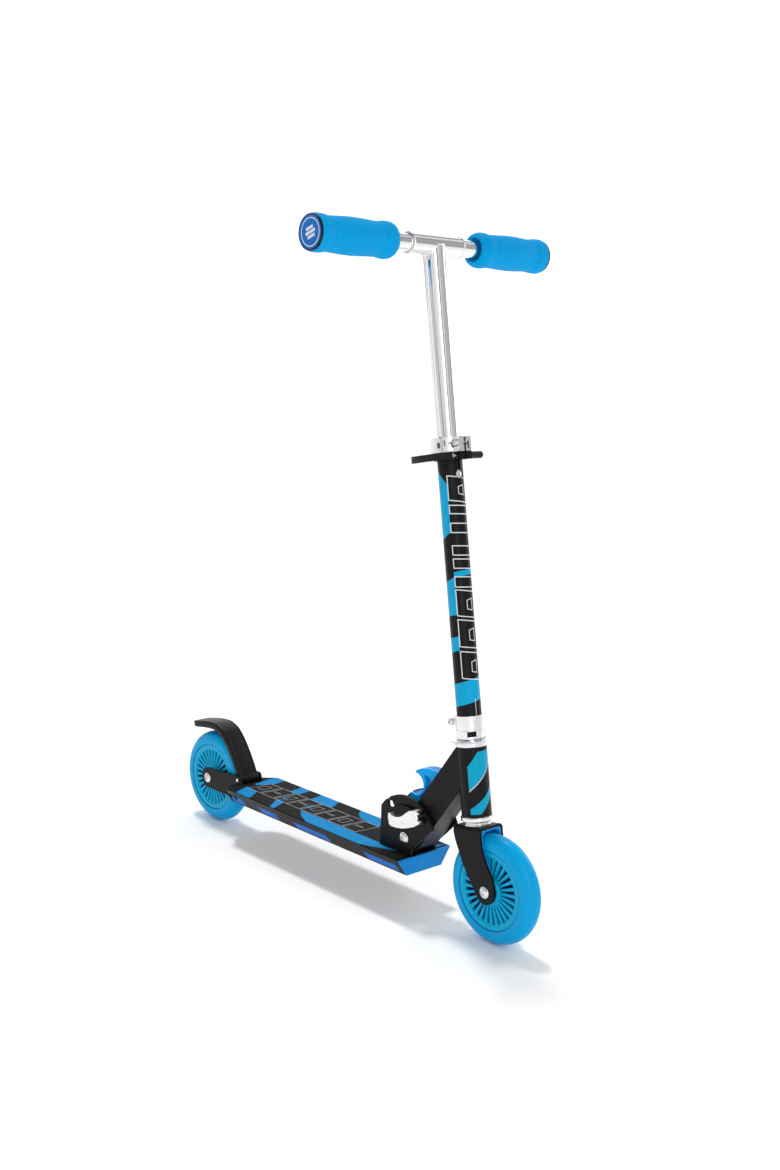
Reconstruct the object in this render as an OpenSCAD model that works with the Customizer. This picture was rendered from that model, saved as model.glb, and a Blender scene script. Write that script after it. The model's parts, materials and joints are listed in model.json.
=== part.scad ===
// Folding two-wheel in-line kick scooter for a child.
// X points forward, Y to the rider's left, Z up. The origin is on the ground, midway between the wheels.

/* [Wheels] */
// Wheel diameter
wheel_d = 120; // [116:1:124]
// Tyre width
tyre_w = 24; // [22:1:24]
// Distance between the two axles
wheel_base = 506; // [490:1:530]
// Slots around each hub
hub_slots = 28; // [16:2:28]
// Axle bolt diameter
axle_d = 8; // [6:1:8]

/* [Deck] */
// Height of the deck's top face
deck_top = 67; // [66:1:68]
// Height of the deck section
deck_h = 20; // [18:1:20]
// Width of the deck's top face
deck_w = 82; // [76:1:90]
// Width of the deck's bottom face
deck_bottom_w = 54; // [50:1:60]
// Front end of the deck
deck_front = 141; // [138:1:143]
// Rear end of the deck
deck_rear = -190; // [-190:1:-184]

/* [Fold] */
// Fold pivot, forward of the origin
pivot_x = 130; // [128:1:132]
// Fold pivot, above the ground
pivot_z = 86; // [86:1:88]
// Slope of the down tube
tube_a = 54; // [53:0.5:55]
// How far the stem folds back
fold_a = 74.4; // [60:0.2:75]
// Distance of the fold skewer from the pivot
skewer_r = 41; // [40:0.5:42]

/* [Steering] */
// Lean of the steering axis
lean = 9.15; // [8:0.05:10]
// Offset of the front axle ahead of the steering axis
rake = 20; // [19:0.5:21]
// Outer steering tube diameter
tube_d = 27; // [27:0.5:28]
// Inner stem tube diameter
stem_d = 24; // [24:0.5:24.5]
// Station of the handlebar's centre line along the steering axis
bar_s = 685; // [660:1:700]
// Travel of the handlebar's height
bar_travel = 156; // [100:1:156]

/* [Handles] */
// Handle tube diameter
handle_d = 19; // [18:0.5:19]
// Outer end of each grip, from the middle
grip_end = 166; // [150:1:170]
// Length of each grip
grip_l = 105; // [95:1:110]
// Largest grip diameter
grip_d = 38.5; // [36:0.5:40]

/* [Hidden] */
$fn = 64;
eps = 0.01;
gap = 0.3;                      // clearance between bodies that move
wheel_r = wheel_d / 2;
rear_x = -wheel_base / 2;
front_x = wheel_base / 2;
steer_x = front_x - rake / cos(lean);
axle_s = -(front_x - steer_x) * sin(lean);
rim_r = 43;                     // tyre seat on the hub
bearing_r = 11;
bearing_w = 7;
bearing_y = 12;                 // outer face of each bearing
plate_in = 15;                  // inner face of the fork blades
plate_t = 3;
plate_out = plate_in + plate_t;
wall = 2.5;
slot_w = 7;                     // kidney slot in the bracket plates
rest_a = 52;                    // skewer angle about the pivot at rest
brk_in = 17;                    // inner face of the bracket plates
brk_t = 3;
brk_out = brk_in + brk_t;
brk_r = 49;
tab_l = 32;                     // bracket tab that goes down into the deck
tube_w = 30;                    // down tube width
tube_up = 14.75;                // down tube's upper face, from the pivot
tube_low = 19.55;               // down tube's lower face, from the pivot
skewer_u = skewer_r * cos(rest_a - tube_a);
skewer_v = skewer_r * sin(rest_a - tube_a);
lever_a = 195;                  // direction of the fold lever's arm
lever_y = 27.6;                 // cross pin of the fold lever
head_s = 75;                    // bottom of the head tube
head_l = 75;
head_r = 16.5;
crown_s = 65;                   // top of the fork crown
steerer_r = 12;
top_s = 479;                    // top of the outer steering tube
clamp_s = 457;                  // bottom of the height clamp
ear_x = 19;                     // height skewer, ahead of the axis
skew_s = clamp_s + 4.2;
height_pin_y = 16;
button_s = 442;
stem_foot = 395;                // lower end of the inner stem tube
sleeve_l = 38;
sleeve_r = 11.25;
hinge_x = -188;                 // fender brake hinge
hinge_z = 72.5;
fender_w = 29;
fork_in = 28;                   // how far the rear fork plates go into the deck
sunk = 26;                      // half length of the rear screws, whose heads are sunk in the deck's sides

// ---- frames -------------------------------------------------------------------------------------------

// Places children along the steering axis, with their Z along it.
module on_steerer(s = 0)
    translate([steer_x, 0, wheel_r]) rotate([0, -lean, 0]) translate([0, 0, s]) children();

// Turns a flat outline drawn in X and Z into a plate between y0 and y1.
module side_plate(y0, y1)
    translate([0, y1, 0]) rotate([90, 0, 0]) linear_extrude(y1 - y0) children();

// Places children at an axle, their Z along the rider's left.
module at_axle(x) translate([x, 0, wheel_r]) rotate([-90, 0, 0]) children();

// Down tube frame: X runs up the tube from the pivot, Z points away from its upper face.
module on_down_tube() translate([pivot_x, 0, pivot_z]) rotate([0, -tube_a, 0]) children();

// A ring about Z.
module ring(r_out, r_in, h) difference() {
    cylinder(r = r_out, h = h);
    translate([0, 0, -1]) cylinder(r = r_in, h = h + 2);
}

// ---- wheels -------------------------------------------------------------------------------------------

module tyre(x) color("deepskyblue") at_axle(x) rotate_extrude($fn = 128) union() {
    translate([wheel_r - tyre_w / 2, 0]) intersection() {
        circle(d = tyre_w);
        translate([0, -tyre_w]) square([tyre_w, 2 * tyre_w]);
    }
    translate([rim_r, -tyre_w / 2]) square([wheel_r - tyre_w / 2 - rim_r + eps, tyre_w]);
}

module hub(x) color("dodgerblue") at_axle(x) difference() {
    rotate_extrude($fn = 128) polygon([
        [bearing_r - 2, -5], [bearing_r - 2, 5], [bearing_r, 5], [bearing_r, bearing_y],
        [14, bearing_y], [14.8, 10.3], [37, 10.3], [38, 11.4], [rim_r, 11.4],
        [rim_r, -11.4], [38, -11.4], [37, -10.3], [14.8, -10.3], [14, -bearing_y],
        [bearing_r, -bearing_y], [bearing_r, -5]]);
    for (i = [0 : hub_slots - 1], side = [0, 1])
        rotate([0, side * 180, i * 360 / hub_slots]) translate([0, 0, 3])
            linear_extrude(9) polygon([[15.6, -0.6], [36, -1.5], [36, 1.5], [15.6, 0.6]]);
}

module outer_races(x) color("silver") at_axle(x) for (side = [0, 1]) mirror([0, 0, side])
    translate([0, 0, bearing_y - bearing_w]) difference() {
        ring(bearing_r - 0.02, 6.2, bearing_w);
        translate([0, 0, 1]) ring(9, 6, bearing_w - 2);
    }

module inner_races(x) color("silver") at_axle(x) for (side = [0, 1]) mirror([0, 0, side])
    translate([0, 0, bearing_y - bearing_w]) ring(5.85, axle_d / 2 + 0.05, bearing_w);

module axle_spacers(x) color("gray") at_axle(x) {
    translate([0, 0, -5]) ring(5.8, axle_d / 2 + 0.05, 10);
    for (side = [0, 1]) mirror([0, 0, side])
        translate([0, 0, bearing_y]) ring(5.8, axle_d / 2 + 0.05, plate_in - bearing_y);
}

// A dome-headed bolt along Z: shank from z0 to z1, its head below z0.
module dome_bolt(r, z0, z1, head_r, head_h, socket) difference() {
    union() {
        translate([0, 0, z0]) cylinder(r = r, h = z1 - z0);
        translate([0, 0, z0]) intersection() {
            translate([0, 0, -head_h]) cylinder(r = head_r, h = head_h);
            translate([0, 0, head_r * 1.25]) sphere(r = head_r * 1.25 + head_h);
        }
    }
    translate([0, 0, z0 - head_h - 1]) cylinder(r = socket, h = head_h * 0.7 + 1, $fn = 6);
}

// A hex nut with a domed end, its flat face on z = 0.
module cap_nut(bore, flats_r, h) difference() {
    union() {
        cylinder(r = flats_r, h = h * 0.6, $fn = 6);
        intersection() {
            cylinder(r = flats_r * 0.84, h = h);
            translate([0, 0, h - flats_r]) sphere(r = flats_r);
        }
    }
    translate([0, 0, -1]) cylinder(r = bore, h = h * 0.7 + 1);
}

module axle_bolt(x) color("silver") at_axle(x) dome_bolt(axle_d / 2, -plate_out, plate_out + 4, 6.5, 3, 2.6);
module axle_nut(x) color("silver") at_axle(x)
    translate([0, 0, plate_out]) cap_nut(axle_d / 2 + 0.03, 7.5, 8);

// ---- deck ---------------------------------------------------------------------------------------------

// Deck section in Y and Z, shrunk by t all round.
module deck_section(t) polygon([
    [-deck_w / 2 + 1.6 * t, deck_top - t], [deck_w / 2 - 1.6 * t, deck_top - t],
    [deck_bottom_w / 2 - t * 0.5, deck_top - deck_h + t],
    [-deck_bottom_w / 2 + t * 0.5, deck_top - deck_h + t]]);

module along_x(x0, x1) translate([x0, 0, 0]) rotate([90, 0, 90]) linear_extrude(x1 - x0) children();

// Plan of the deck, with its rear corners cut off.
module deck_plan() polygon([
    [deck_rear, -26], [deck_rear, 26], [deck_rear + 13, deck_w / 2 + 1], [deck_front, deck_w / 2 + 1],
    [deck_front, -deck_w / 2 - 1], [deck_rear + 13, -deck_w / 2 - 1]]);

module deck_frame() color("#26221f") difference() {
    intersection() {
        along_x(deck_rear, deck_front) deck_section(0);
        linear_extrude(100) deck_plan();
    }
    along_x(deck_rear + 40, deck_front + 1) difference() {
        deck_section(wall);
        translate([-1.5, 0]) square([3, 100]);
    }
    for (side = [-1, 1]) {
        translate([pivot_x - tab_l + 1.9, side * (brk_in + brk_t / 2) - brk_t / 2 - 0.1, deck_top - 4])
            cube([tab_l + 0.2, brk_t + 0.2, 5]);
        translate([deck_rear - 1, side > 0 ? plate_in - eps : -plate_out - eps, 0])
            cube([fork_in + 1 + eps, plate_t + 2 * eps, 100]);
        for (x = fork_xs()) translate([x, side * (sunk + 20), deck_top - 10]) rotate([90, 0, 0])
            cylinder(r = 3.8, h = 40, center = true);
    }
    for (x = bracket_xs()) translate([x, 0, deck_top - 8]) rotate([90, 0, 0])
        cylinder(r = 2.55, h = 2 * brk_out + 20, center = true);
    for (x = fork_xs()) translate([x, 0, deck_top - 10]) rotate([90, 0, 0])
        cylinder(r = 2.55, h = 60, center = true);
}
function bracket_xs() = [pivot_x - 22, pivot_x - 3];
function fork_xs() = [deck_rear + 9, deck_rear + 20];

module grip_tape() color("#1c1c1c") translate([0, 0, deck_top]) linear_extrude(0.8) difference() {
    polygon([[deck_rear + 1.5, -25.4], [deck_rear + 13.5, -deck_w / 2 + 1.5],
        [deck_front - 3, -deck_w / 2 + 1.5], [deck_front - 3, deck_w / 2 - 1.5],
        [deck_rear + 13.5, deck_w / 2 - 1.5], [deck_rear + 1.5, 25.4]]);
    translate([pivot_x - 42, -brk_out - 0.6]) square([80, 2 * brk_out + 1.2]);
    translate([deck_rear, -plate_out - 0.6]) square([13.5, 2 * plate_out + 1.2]);
}

module deck_front_cap() color("#0088d0") {
    along_x(deck_front, deck_front + 2.5) deck_section(0);
    along_x(deck_front - 8, deck_front) difference() {
        deck_section(wall + 0.1);
        translate([-1.8, 0]) square([3.6, 100]);
        deck_section(wall + 2);
    }
}

// ---- rear fork and brake ------------------------------------------------------------------------------

module rear_fork(side) color("#1f1b19") difference() {
    side_plate(side > 0 ? plate_in : -plate_out, side > 0 ? plate_out : -plate_in)
        polygon(concat(arc([rear_x, wheel_r], 13.5, 90, 270), [[deck_rear - 2, deck_top - deck_h],
            [deck_rear + fork_in, deck_top - deck_h], [deck_rear + fork_in, deck_top],
            [hinge_x + 8.5, deck_top], [hinge_x + 3.5, hinge_z + 4.6], [hinge_x - 2.5, hinge_z + 5]]));
    at_axle(rear_x) cylinder(r = axle_d / 2 + 0.05, h = 60, center = true);
    for (x = fork_xs()) translate([x, 0, deck_top - 10]) rotate([90, 0, 0])
        cylinder(r = 2.55, h = 60, center = true);
    translate([hinge_x, 0, hinge_z]) rotate([90, 0, 0]) cylinder(r = 2.03, h = 60, center = true);
}

// Screws across the rear fork plates and the deck's tail.
module cross_bolt(x, z, half, head) translate([x, 0, z]) rotate([90, 0, 0]) {
    cylinder(r = 2.5, h = 2 * half, center = true);
    for (side = [-1, 1]) translate([0, 0, side * (half + 1)]) cylinder(r = head, h = 2, center = true);
}
module deck_bolts() color("#2a2a2a") {
    for (x = fork_xs()) cross_bolt(x, deck_top - 10, sunk, 3.6);
    for (x = bracket_xs()) cross_bolt(x, deck_top - 8, brk_out, 4);
}

module brake_hinge_pin() color("silver") translate([hinge_x, 0, hinge_z]) rotate([90, 0, 0])
    cylinder(r = 2, h = 2 * plate_out, center = true);

// Fender outline from its foot over the wheel to the tail, as X and Z about the rear axle.
fender_top = [[69, 13], [64.5, 22], [57, 34.5], [48.5, 46.5], [39.5, 57.5], [28, 68], [17.5, 73],
    [5.7, 75.2], [-11.6, 74], [-28, 71], [-41, 68.5], [-47, 65.8], [-49, 63]];
fender_under = [[-47, 60.5], [-41, 60], [-28, 64], [-11.6, 69.5], [5.7, 71.6], [16.5, 69.6], [26, 65],
    [37, 55.2], [45.8, 44.6], [54.2, 33], [61, 20.5], [64, 12]];
fender_lip = [[-47, 60.5], [-40, 60], [-26, 62.5], [-11, 65], [0, 66], [14, 65.3], [25, 61.5], [35, 52],
    [44.5, 40], [52.5, 28.5], [57, 20]];

module brake_fender() color("#232323") difference() {
    union() {
        translate([rear_x, 0, wheel_r]) side_plate(-fender_w / 2, fender_w / 2)
            polygon(concat(fender_top, fender_under));
        for (y = [-fender_w / 2, fender_w / 2 - 1.9]) translate([rear_x, y, wheel_r]) side_plate(0, 1.9)
            polygon(concat([for (p = fender_top) if (p[0] < 60) p], fender_lip));
        translate([hinge_x, 0, hinge_z]) rotate([90, 0, 0]) cylinder(r = 5, h = fender_w, center = true);
    }
    translate([hinge_x, 0, hinge_z]) rotate([90, 0, 0]) cylinder(r = 2.05, h = 60, center = true);
}

// ---- fold bracket -------------------------------------------------------------------------------------

function polar(r, a) = [r * cos(a), r * sin(a)];

// Points round an arc about c, from angle a0 to a1.
function arc(c, r, a0, a1, n = 12) = [for (i = [0 : n]) c + polar(r, a0 + (a1 - a0) * i / n)];

// Pie slice between two angles, out to radius r.
module sector(r, a0, a1) polygon(concat([[0, 0]], [for (i = [0 : 6]) polar(r, a0 + (a1 - a0) * i / 6)]));

module bracket_outline() difference() {
    intersection() {
        circle(r = brk_r);
        polygon([[-40, deck_top - pivot_z], [10.5, deck_top - pivot_z], [10.5, -12], [28, 5], [42, 19],
            [60, 32], [60, 60], [-40, 60]]);
    }
    intersection() {
        difference() {
            circle(r = skewer_r + slot_w / 2);
            circle(r = skewer_r - slot_w / 2);
        }
        sector(80, rest_a, rest_a + fold_a);
    }
    for (a = [rest_a, rest_a + fold_a]) translate(polar(skewer_r, a)) circle(r = slot_w / 2);
    rotate(rest_a + fold_a) translate([skewer_r, -1.7]) square([20, 3.4]);
}

module fold_bracket(side) color("#222222") difference() {
    union() {
        translate([pivot_x, 0, pivot_z])
            side_plate(side > 0 ? brk_in : -brk_out, side > 0 ? brk_out : -brk_in) bracket_outline();
        translate([pivot_x - tab_l + 2, side > 0 ? brk_in : -brk_out, deck_top - 12])
            cube([tab_l, brk_t, 13]);
    }
    translate([pivot_x, 0, pivot_z]) rotate([90, 0, 0]) cylinder(r = 4.05, h = 60, center = true);
    for (x = bracket_xs()) translate([x, 0, deck_top - 8]) rotate([90, 0, 0])
        cylinder(r = 2.55, h = 60, center = true);
}

module fold_pivot_bolt() color("silver") translate([pivot_x, 0, pivot_z]) rotate([-90, 0, 0])
    dome_bolt(4, -brk_out, brk_out + 4, 7, 3.5, 2.6);
module deck_cap_nuts() {
    axle_nut(rear_x);
    color("silver") translate([pivot_x, 0, pivot_z]) rotate([-90, 0, 0])
        translate([0, 0, brk_out]) cap_nut(4.03, 7.5, 8);
}

// ---- stem group ---------------------------------------------------------------------------------------

// Side outline of the down tube, shrunk by t; its foot is round about the pivot.
module tube_outline(t, u1) {
    circle(r = 17.5 - t);
    polygon([[0, -17.5 + t], [6, -tube_low + t], [u1, -tube_low + t], [u1, tube_up - t], [0, tube_up - t]]);
}

module down_tube() color("#222222") difference() {
    union() {
        difference() {
            on_down_tube() side_plate(-tube_w / 2, tube_w / 2) tube_outline(0, 168);
            on_down_tube() side_plate(-tube_w / 2 + 2, tube_w / 2 - 2) tube_outline(2, 170);
        }
        on_down_tube() rotate([90, 0, 0]) cylinder(r = 7, h = tube_w, center = true);
        on_down_tube() translate([skewer_u, 0, skewer_v]) rotate([90, 0, 0])
            cylinder(r = 6, h = tube_w, center = true);
    }
    on_down_tube() rotate([90, 0, 0]) cylinder(r = 4.06, h = 60, center = true);
    on_down_tube() translate([skewer_u, 0, skewer_v]) rotate([90, 0, 0])
        cylinder(r = 3.05, h = 60, center = true);
    on_down_tube() translate([40, -4.3, tube_up - 4]) cube([46, 8.6, 6]);
    on_steerer(head_s - 30) cylinder(r = head_r + 0.02, h = head_l + 60);
    on_steerer(head_s - 30) translate([0, -30, 0]) cube([60, 60, head_l + 60]);
    on_steerer(head_s + head_l - 0.05) cylinder(r = 40, h = 40);
}

module head_tube() color("#222222") on_steerer(head_s) ring(head_r, 13.5, head_l);

// Nylon fans on the tube's flanks: they close the kidney slots from inside and guide the fold.
module fold_liners() color("#1a1a1a") for (side = [-1, 1])
    translate([pivot_x, 0, pivot_z])
    side_plate(side > 0 ? 15.1 : -16.6, side > 0 ? 16.6 : -15.1) difference() {
        union() {
            intersection() {
                circle(r = 47);
                sector(60, 34, rest_a + fold_a - 1);
            }
            circle(r = 14);
        }
        circle(r = 4.06);
        translate(polar(skewer_r, rest_a)) circle(r = 3.05);
    }

module at_skewer() translate([pivot_x, 0, pivot_z]) rotate([0, -rest_a, 0]) translate([skewer_r, 0, 0])
    rotate([-90, 0, 0]) children();

module fold_skewer() color("silver") difference() {
    union() {
        at_skewer() translate([0, 0, 1 - lever_y]) cylinder(r = 3, h = lever_y + brk_out + 4.7);
        fold_hinge() cylinder(r = 3.6, h = 5, center = true);
    }
    fold_hinge() cylinder(r = 1.55, h = 30, center = true);
}
module fold_skewer_nut() color("silver") at_skewer() translate([0, 0, brk_out + gap]) cap_nut(3.03, 6.5, 8);

// Children about the fold lever's cross pin: Z along the pin, X along the arm.
module fold_hinge() translate([pivot_x, 0, pivot_z])
    translate([skewer_r * cos(rest_a), -lever_y, skewer_r * sin(rest_a)])
    rotate([0, -lever_a, 0]) rotate([180, 0, 0]) children();

// Lever arm: banana-shaped seen from the side, with a cam head about the pin.
module fold_quick_lever() color("lightgray") difference() {
    intersection() {
        fold_hinge() rotate([90, 0, 0]) linear_extrude(60, center = true) polygon(concat(
            arc([0, 0], 9, 80, 260), [[6, -9.9], [17, -10.6], [26, -9.6], [33, -7.4], [35, -5], [35, 3],
            [34, 7], [32.5, 7.5], [29.5, 3.8], [25, 2.4], [20, 2], [14, 3.4], [7, 6.8]]));
        fold_hinge() translate([0, 0, -20]) linear_extrude(40) polygon(concat(
            arc([0, 0], lever_y - brk_out - gap, 90, 290, 16),
            [[16, -2.2], [28, 1], [37, 4.5], [37, 10.5], [28, 8.6], [16, 7.6]]));
    }
    fold_hinge() cylinder(r = 1.55, h = 60, center = true);
    fold_hinge() translate([-9, -9, -3.5]) cube([13, 13.5, 7]);
    fold_hinge() translate([-1, -9, -3.5]) cube([5, 9, 7]);
    fold_hinge() translate([9, 6.7, -5.5]) cube([8, 5, 3.2]);
}
module fold_lever_pin() color("silver") fold_hinge() cylinder(r = 1.5, h = 14, center = true);

module cup_ring(up) rotate_extrude() polygon([for (p = [[13.45, -8], [13.45, 0], [16.4, 0], [17.8, 1],
    [17.8, 4.9], [16.9, 4.9], [16.9, 1.4], [12.5, 1.4], [12.5, -8]]) [p[0], up * p[1]]]);
module upper_headset_cup() color("silver") on_steerer(head_s + head_l) cup_ring(1);
module lower_headset_cup() color("silver") on_steerer(head_s) cup_ring(-1);

// Finger pull behind the down tube, drawn along and away from the tube's face.
module release_pull() color("#00a0e4") on_down_tube() difference() {
    union() {
        side_plate(-8, 8) difference() {
            polygon([[33, tube_up + gap], [31.3, 22], [31.6, 28], [33.5, 31.8], [37, 32.8], [42, 31],
                [58, 37], [59.5, 41.6], [62.4, 43.6], [66, 42.8], [73, 38.6], [80, 32], [86, 24],
                [92, tube_up + gap]]);
            translate([51.3, 34.5]) circle(r = 12.6);
        }
        translate([44, -4, tube_up - 2]) cube([30, 8, 2 + gap + 0.5]);
    }
    for (side = [-1, 1]) side_plate(side > 0 ? 4.5 : -9, side > 0 ? 9 : -4.5)
        polygon([[40, 17.5], [44, 20.5], [58, 19.5], [66, 25], [69, 32], [74, 24], [72, 17.5]]);
}

// ---- steering group -----------------------------------------------------------------------------------

// Side outline of the fork blades about the steering axis.
module fork_side() {
    polygon([[-19.8, crown_s], [-19.6, 57], [-18, 49], [-9.5, 24], [rake - 12.7, axle_s - 4.5],
        [rake, axle_s], [rake + 13.4, axle_s + 2], [32.5, 12], [24.4, 28], [19.9, 44], [19.6, crown_s]]);
    translate([rake, axle_s]) circle(r = 13.5);
}

// Front outline of a bent U: half width w, top at z, outer bend radius r.
module u_front(w, z, r) union() {
    translate([-w, -60]) square([2 * w, 60 + z - r]);
    translate([-w + r, 0]) square([2 * (w - r), z]);
    for (side = [-1, 1]) translate([side * (w - r), z - r]) circle(r = r);
}
module front_block() rotate([90, 0, 90]) linear_extrude(120, center = true) children();

module fork() color("#222222") difference() {
    on_steerer() intersection() {
        side_plate(-plate_out, plate_out) fork_side();
        front_block() difference() {
            u_front(plate_out, crown_s, 5);
            u_front(plate_in, crown_s - plate_t, 2.5);
        }
    }
    on_steerer() cylinder(r = steerer_r + 0.02, h = 100);
    at_axle(front_x) cylinder(r = axle_d / 2 + 0.05, h = 60, center = true);
}

module fork_steerer() color("silver") on_steerer(crown_s - plate_t)
    ring(steerer_r, 9.5, 235 - crown_s + plate_t);

// Moulded arch inside the fork, between its blades and the wheel.
module fork_liner() color("#0092dc") on_steerer() intersection() {
    side_plate(-plate_out, plate_out) intersection() {
        fork_side();
        polygon([[-30, crown_s], [40, crown_s], [40, 16], [16, 16], [-4, 44], [-30, 44]]);
    }
    front_block() difference() {
        u_front(plate_in - 0.05, crown_s - plate_t - 0.05, 2.5);
        u_front(13.2, crown_s - plate_t - 2.2, 7);
    }
}

module crown_race() color("silver") on_steerer(crown_s) rotate_extrude() polygon([
    [steerer_r + 0.05, 0], [15.2, 0], [15.2, 1.2], [14.2, 2], [14.2, 3.4], [16.3, 4.2], [16.3, 4.8],
    [steerer_r + 0.05, 4.8]]);

module headset_balls() color("silver") {
    for (s = [head_s - 3.3, head_s + head_l + 3.4], i = [0 : 17])
        on_steerer(s) rotate([0, 0, i * 20]) translate([14.7, 0, 0]) sphere(r = 1.75, $fn = 16);
}

module headset_washer() color("silver") on_steerer(head_s + head_l + 5.3) rotate_extrude() polygon([
    [steerer_r + 0.05, 0], [20, 0], [22.6, 0.9], [22.9, 1.6], [22.4, 2.2], [19.5, 2.4], [15, 3.6],
    [steerer_r + 0.05, 3.6]]);

module headset_lock_nut() color("silver") on_steerer(head_s + head_l + 9) difference() {
    intersection() {
        cylinder(r = 16.8, h = 9.3, $fn = 6);
        cylinder(r = 16.2, h = 9.3);
    }
    translate([0, 0, -1]) cylinder(r = steerer_r + 0.05, h = 12);
}

// Split collar about Z with a pair of ears toward +X; the gap is 2.6 wide.
module split_collar(r, h, bore, reach, half_w) difference() {
    union() {
        cylinder(r = r, h = h);
        translate([bore - 1, -half_w, 0]) cube([reach - bore + 1, 2 * half_w, h]);
    }
    translate([0, 0, -1]) cylinder(r = bore, h = h + 2);
    translate([0, -1.3, -1]) cube([60, 2.6, h + 2]);
}

lower_s = 168.4;                // bottom of the lower clamp
lower_screw = [21.5, 0, 7.8];
module lower_clamp() color("silver") on_steerer(lower_s) rotate([0, 0, 180]) difference() {
    union() {
        split_collar(tube_d / 2 + 2.2, 15.6, tube_d / 2 + 0.03, 16.4, 4);
        translate([0, 0, 3.3]) split_collar(tube_d / 2 + 2.2, 9, tube_d / 2 + 0.03, 26.5, 7);
    }
    translate(lower_screw) rotate([90, 0, 0]) cylinder(r = 2.05, h = 40, center = true);
}

module steering_tube() color("#222222") on_steerer() difference() {
    translate([0, 0, lower_s]) ring(tube_d / 2, stem_d / 2 + 0.1, top_s - lower_s);
    intersection() {
        translate([0, -4.7, button_s - bar_travel - 7]) cube([40, 9.4, 300]);
        cylinder(r = stem_d / 2 + 0.9, h = 600);
    }
    translate([0, 0, button_s]) rotate([0, 90, 0]) cylinder(r = 5, h = 40);
    translate([0, -1.3, button_s]) cube([40, 2.6, 60]);
}

module tube_bush() color("#303030") on_steerer(top_s) ring(tube_d / 2 + 1, stem_d / 2 + 0.06, 2.4);

module height_clamp() color("gainsboro") on_steerer(clamp_s) difference() {
    union() {
        split_collar(16.8, 24, tube_d / 2 + 0.03, 24.5, 9);
        translate([0, 0, 8.5]) split_collar(19.6, 15.5, tube_d / 2 + 0.03, 24.5, 9);
    }
    translate([0, 0, top_s - clamp_s - 0.1]) cylinder(r = tube_d / 2 + 1.05, h = 10);
    translate([ear_x, 0, skew_s - clamp_s]) rotate([90, 0, 0]) cylinder(r = 2.55, h = 60, center = true);
    translate([ear_x + 0.5, 0, 17.6]) rotate([90, 0, 0]) cylinder(r = 2.05, h = 60, center = true);
    for (side = [-90, 90]) translate([ear_x + 0.5, 0, 17.6]) rotate([side, 0, 0])
        translate([0, 0, 9]) cylinder(r = 4.3, h = 12);
}
module clamp_screws() color("silver") {
    on_steerer(lower_s) rotate([0, 0, 180]) translate(lower_screw) rotate([90, 0, 0])
        dome_bolt(2, -7, 8, 3.6, 3, 1.6);
    on_steerer(clamp_s + 17.6) translate([ear_x + 0.5, 0, 0]) rotate([-90, 0, 0])
        dome_bolt(2, -9, 9, 4, 3, 2);
}

module at_height_skewer() on_steerer(skew_s) translate([ear_x, 0, 0]) rotate([-90, 0, 0]) children();
module height_skewer() color("silver") difference() {
    union() {
        at_height_skewer() translate([0, 0, 1 - height_pin_y]) cylinder(r = 2.5, h = height_pin_y + 21.8);
        on_steerer(skew_s) translate([ear_x, -height_pin_y, -2]) cylinder(r = 3.2, h = 4);
    }
    on_steerer(skew_s) translate([ear_x, -height_pin_y, 0]) cylinder(r = 1.3, h = 30, center = true);
}
module height_skewer_nut() color("#1e1e1e") at_height_skewer() translate([0, 0, 9])
    difference() {
        union() {
            cylinder(r = 3.8, h = 19);
            translate([0, 0, 19]) cylinder(r1 = 3.8, r2 = 3, h = 1.5);
        }
        translate([0, 0, -1]) cylinder(r = 2.53, h = 15);
    }

// Black cam lever beside the height clamp; it swings about a pin parallel to the steering axis.
module height_quick_lever() color("#1a1a1a") on_steerer(skew_s) difference() {
    translate([ear_x, -height_pin_y, 0]) union() {
        translate([0, 0, -3.7]) cylinder(r = 6.7, h = 7.4);
        translate([0, 0, -3.7]) linear_extrude(7.4) polygon([[0, -6.7], [-18, -9], [-38, -8.2], [-52, -5.6],
            [-58, -3], [-59, 0.5], [-52, 1], [-38, -2.4], [-22, -3.2], [-5, 1.5]]);
        cylinder(r = 1.25, h = 9, center = true);
    }
    translate([ear_x - 3.2, -height_pin_y - 3.6, -2.7]) cube([14, 16, 5.4]);
}

// ---- handlebar ----------------------------------------------------------------------------------------

module at_bar() on_steerer(bar_s) rotate([-90, 0, 0]) children();

module stem_tube() color("gainsboro") difference() {
    on_steerer(stem_foot) ring(stem_d / 2, stem_d / 2 - 1.6, bar_s - stem_foot);
    on_steerer(stem_foot - 1) translate([-1.7, -stem_d / 2 - 1, 0]) cube([3.4, 1.6, 672 - stem_foot]);
    on_steerer(button_s) rotate([0, 90, 0]) cylinder(r = 4.2, h = 30);
    at_bar() cylinder(r = sleeve_r + 0.02, h = 60, center = true);
}

module t_sleeve() color("gainsboro") at_bar() difference() {
    union() {
        cylinder(r = sleeve_r, h = 2 * sleeve_l, center = true);
        for (side = [-1, 1]) translate([0, 0, side * (sleeve_l - 1)])
            cylinder(r = sleeve_r + 0.7, h = 2, center = true);
    }
    cylinder(r = handle_d / 2 + 0.08, h = 100, center = true);
}

module tube_plug() color("#303030") on_steerer(stem_foot - 2) {
    cylinder(r = stem_d / 2 - 0.2, h = 2);
    translate([0, 0, 2]) ring(stem_d / 2 - 1.65, stem_d / 2 - 3.2, 12);
}

module snap_button() color("silver") on_steerer() intersection() {
    translate([0, 0, button_s]) rotate([0, 90, 0]) cylinder(r = 4, h = 40);
    difference() {
        cylinder(r = stem_d / 2 + 0.7, h = 600);
        translate([-40, -20, 0]) cube([46.5, 40, 600]);
    }
}

// Half outline of a grip, radius against distance from its outer end; t shrinks the distance steps.
function grip_profile() = [[12.2, 0], [16.8, 1.2], [18.9, 5], [grip_d / 2, 9], [grip_d / 2, 20], [18, 31],
    [18.4, 40], [19.1, 55], [18.9, 70], [18, 86], [18.2, 92], [grip_d / 2, 96], [grip_d / 2, grip_l - 1.5],
    [18.4, grip_l]];

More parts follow.
